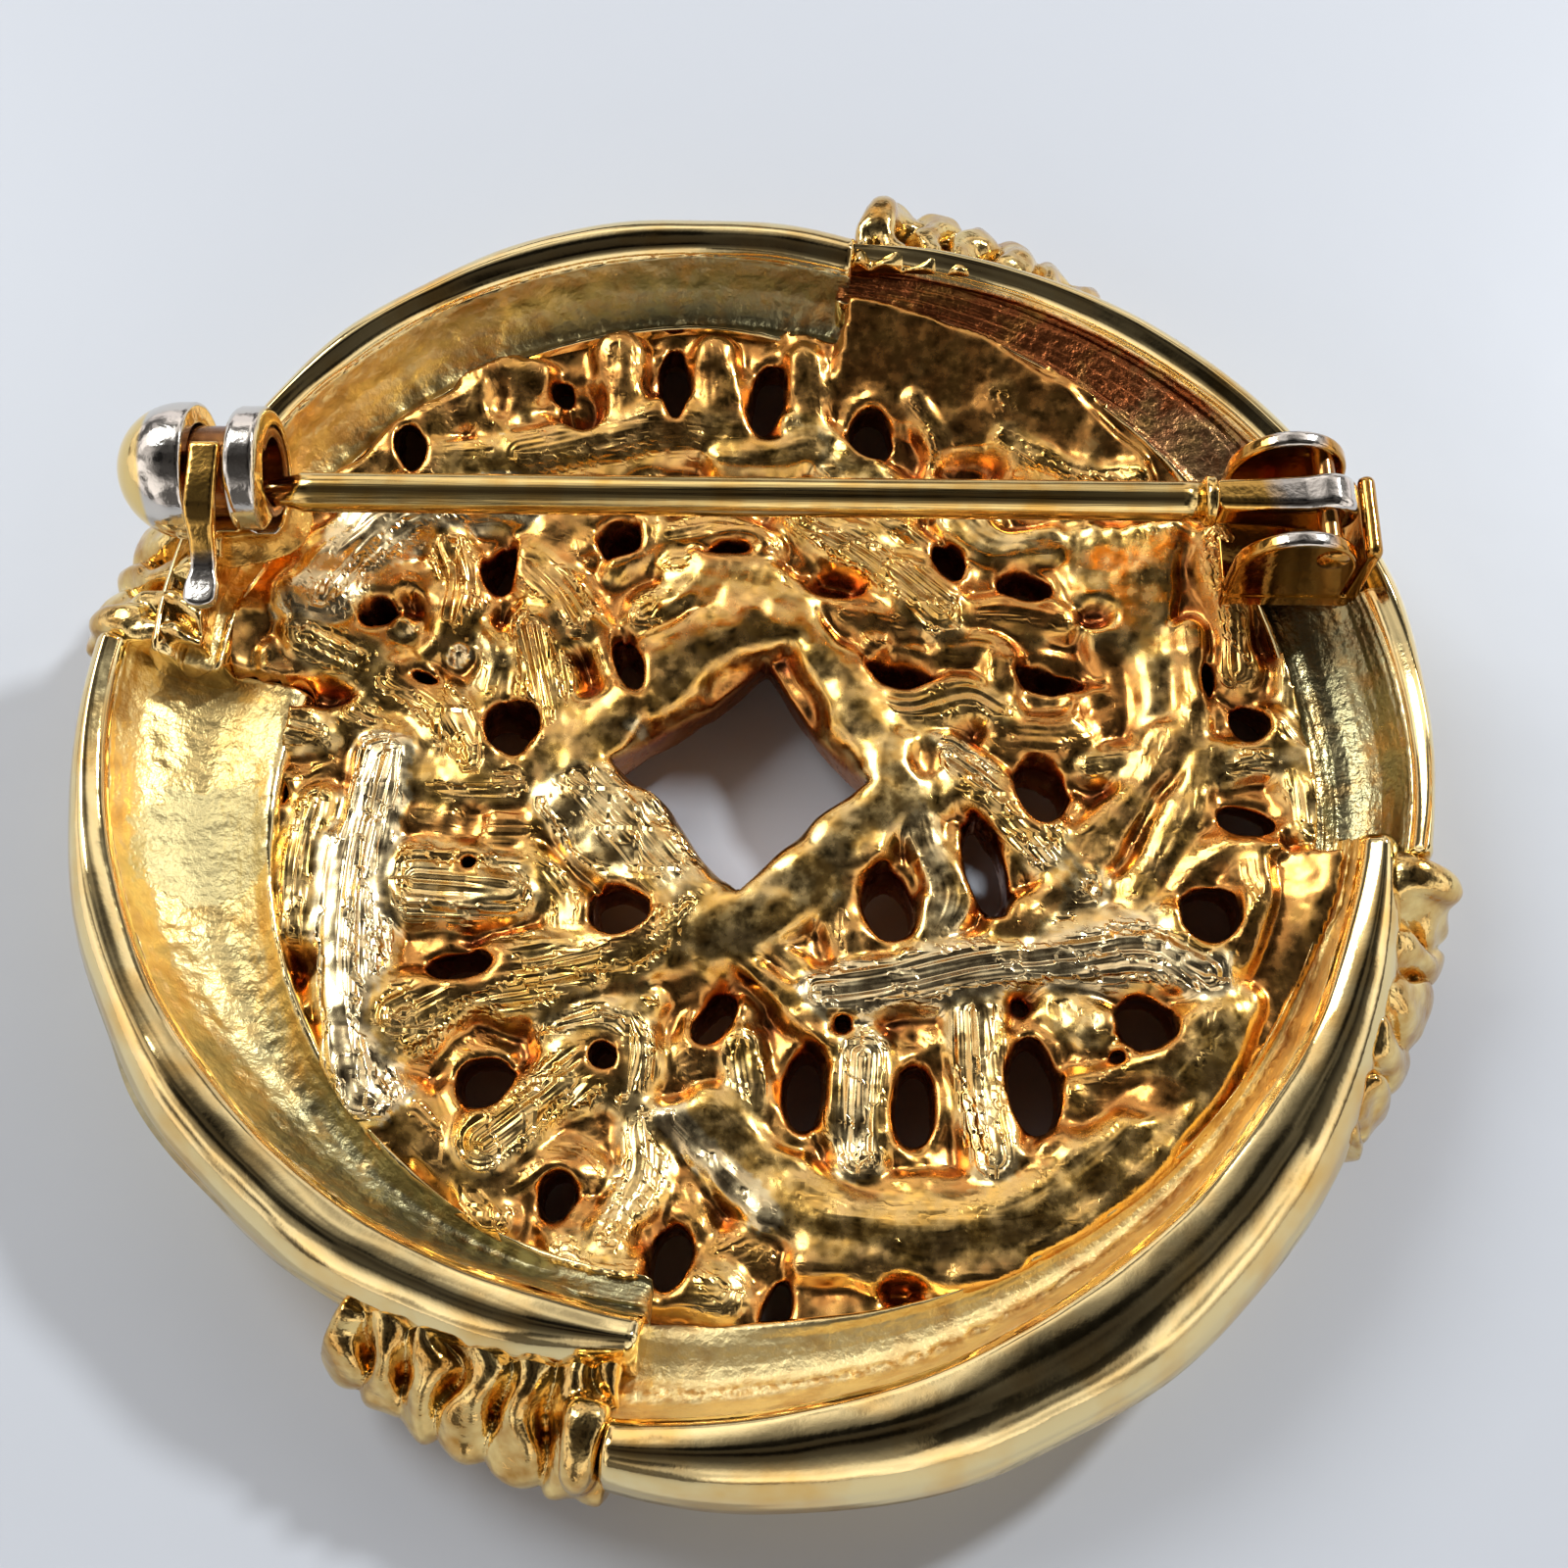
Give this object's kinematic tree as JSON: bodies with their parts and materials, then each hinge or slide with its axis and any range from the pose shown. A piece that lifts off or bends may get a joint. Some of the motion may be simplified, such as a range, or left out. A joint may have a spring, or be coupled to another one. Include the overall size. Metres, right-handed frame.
{
  "type": "brooch",
  "caption": "Round openwork brooch: domed woven plate with a square window in a rim of overlapping crescents, with a hinged pin and a rotary ball catch on the back.",
  "frame": {"origin": "centre of the outline at the plane the front rests on, face down", "axes": "+Z out of the back towards the wearer; the pin lies along X with its catch at -X and its hinge at +X; +Y towards the side that the pin is nearer"},
  "size_m": [0.0494, 0.0494, 0.0113],
  "materials": {
    "polished_gold": "polished gold-tone plating",
    "cast_gold": "as-cast gold-tone plating, reddish in the recesses",
    "nickel_wear": "gold plating worn through to bright nickel"
  },
  "bodies": {
    "root": {"woven_dome": "cast_gold", "catch_foot": "cast_gold", "catch_housing": "nickel_wear", "hinge_bracket": "nickel_wear", "hinge_rivet": "polished_gold", "crescent_1": "polished_gold", "fluted_tab_1": "cast_gold", "window_band_1": "cast_gold", "crescent_2": "polished_gold", "fluted_tab_2": "cast_gold", "window_band_2": "cast_gold", "crescent_3": "polished_gold", "fluted_tab_3": "cast_gold", "window_band_3": "cast_gold", "crescent_4": "polished_gold", "fluted_tab_4": "cast_gold", "window_band_4": "cast_gold"},
    "stem": {"pin_stem": "polished_gold", "stem_collar": "polished_gold", "stem_knuckle": "nickel_wear"},
    "rotor": {"catch_sleeve": "polished_gold", "catch_lever": "polished_gold"}
  },
  "joints": [
    {"name": "stem_hinge", "type": "hinge", "parent": "root", "child": "stem", "pos_m": [0.02005, 0.0084, 0.0085], "axis": [0, 1, 0], "range_deg": [0, 100]},
    {"name": "catch_turn", "type": "hinge", "parent": "root", "child": "rotor", "pos_m": [-0.0189, 0.009, 0.00885], "axis": [-1, 0, 0], "range_deg": [0, 100]}
  ]
}
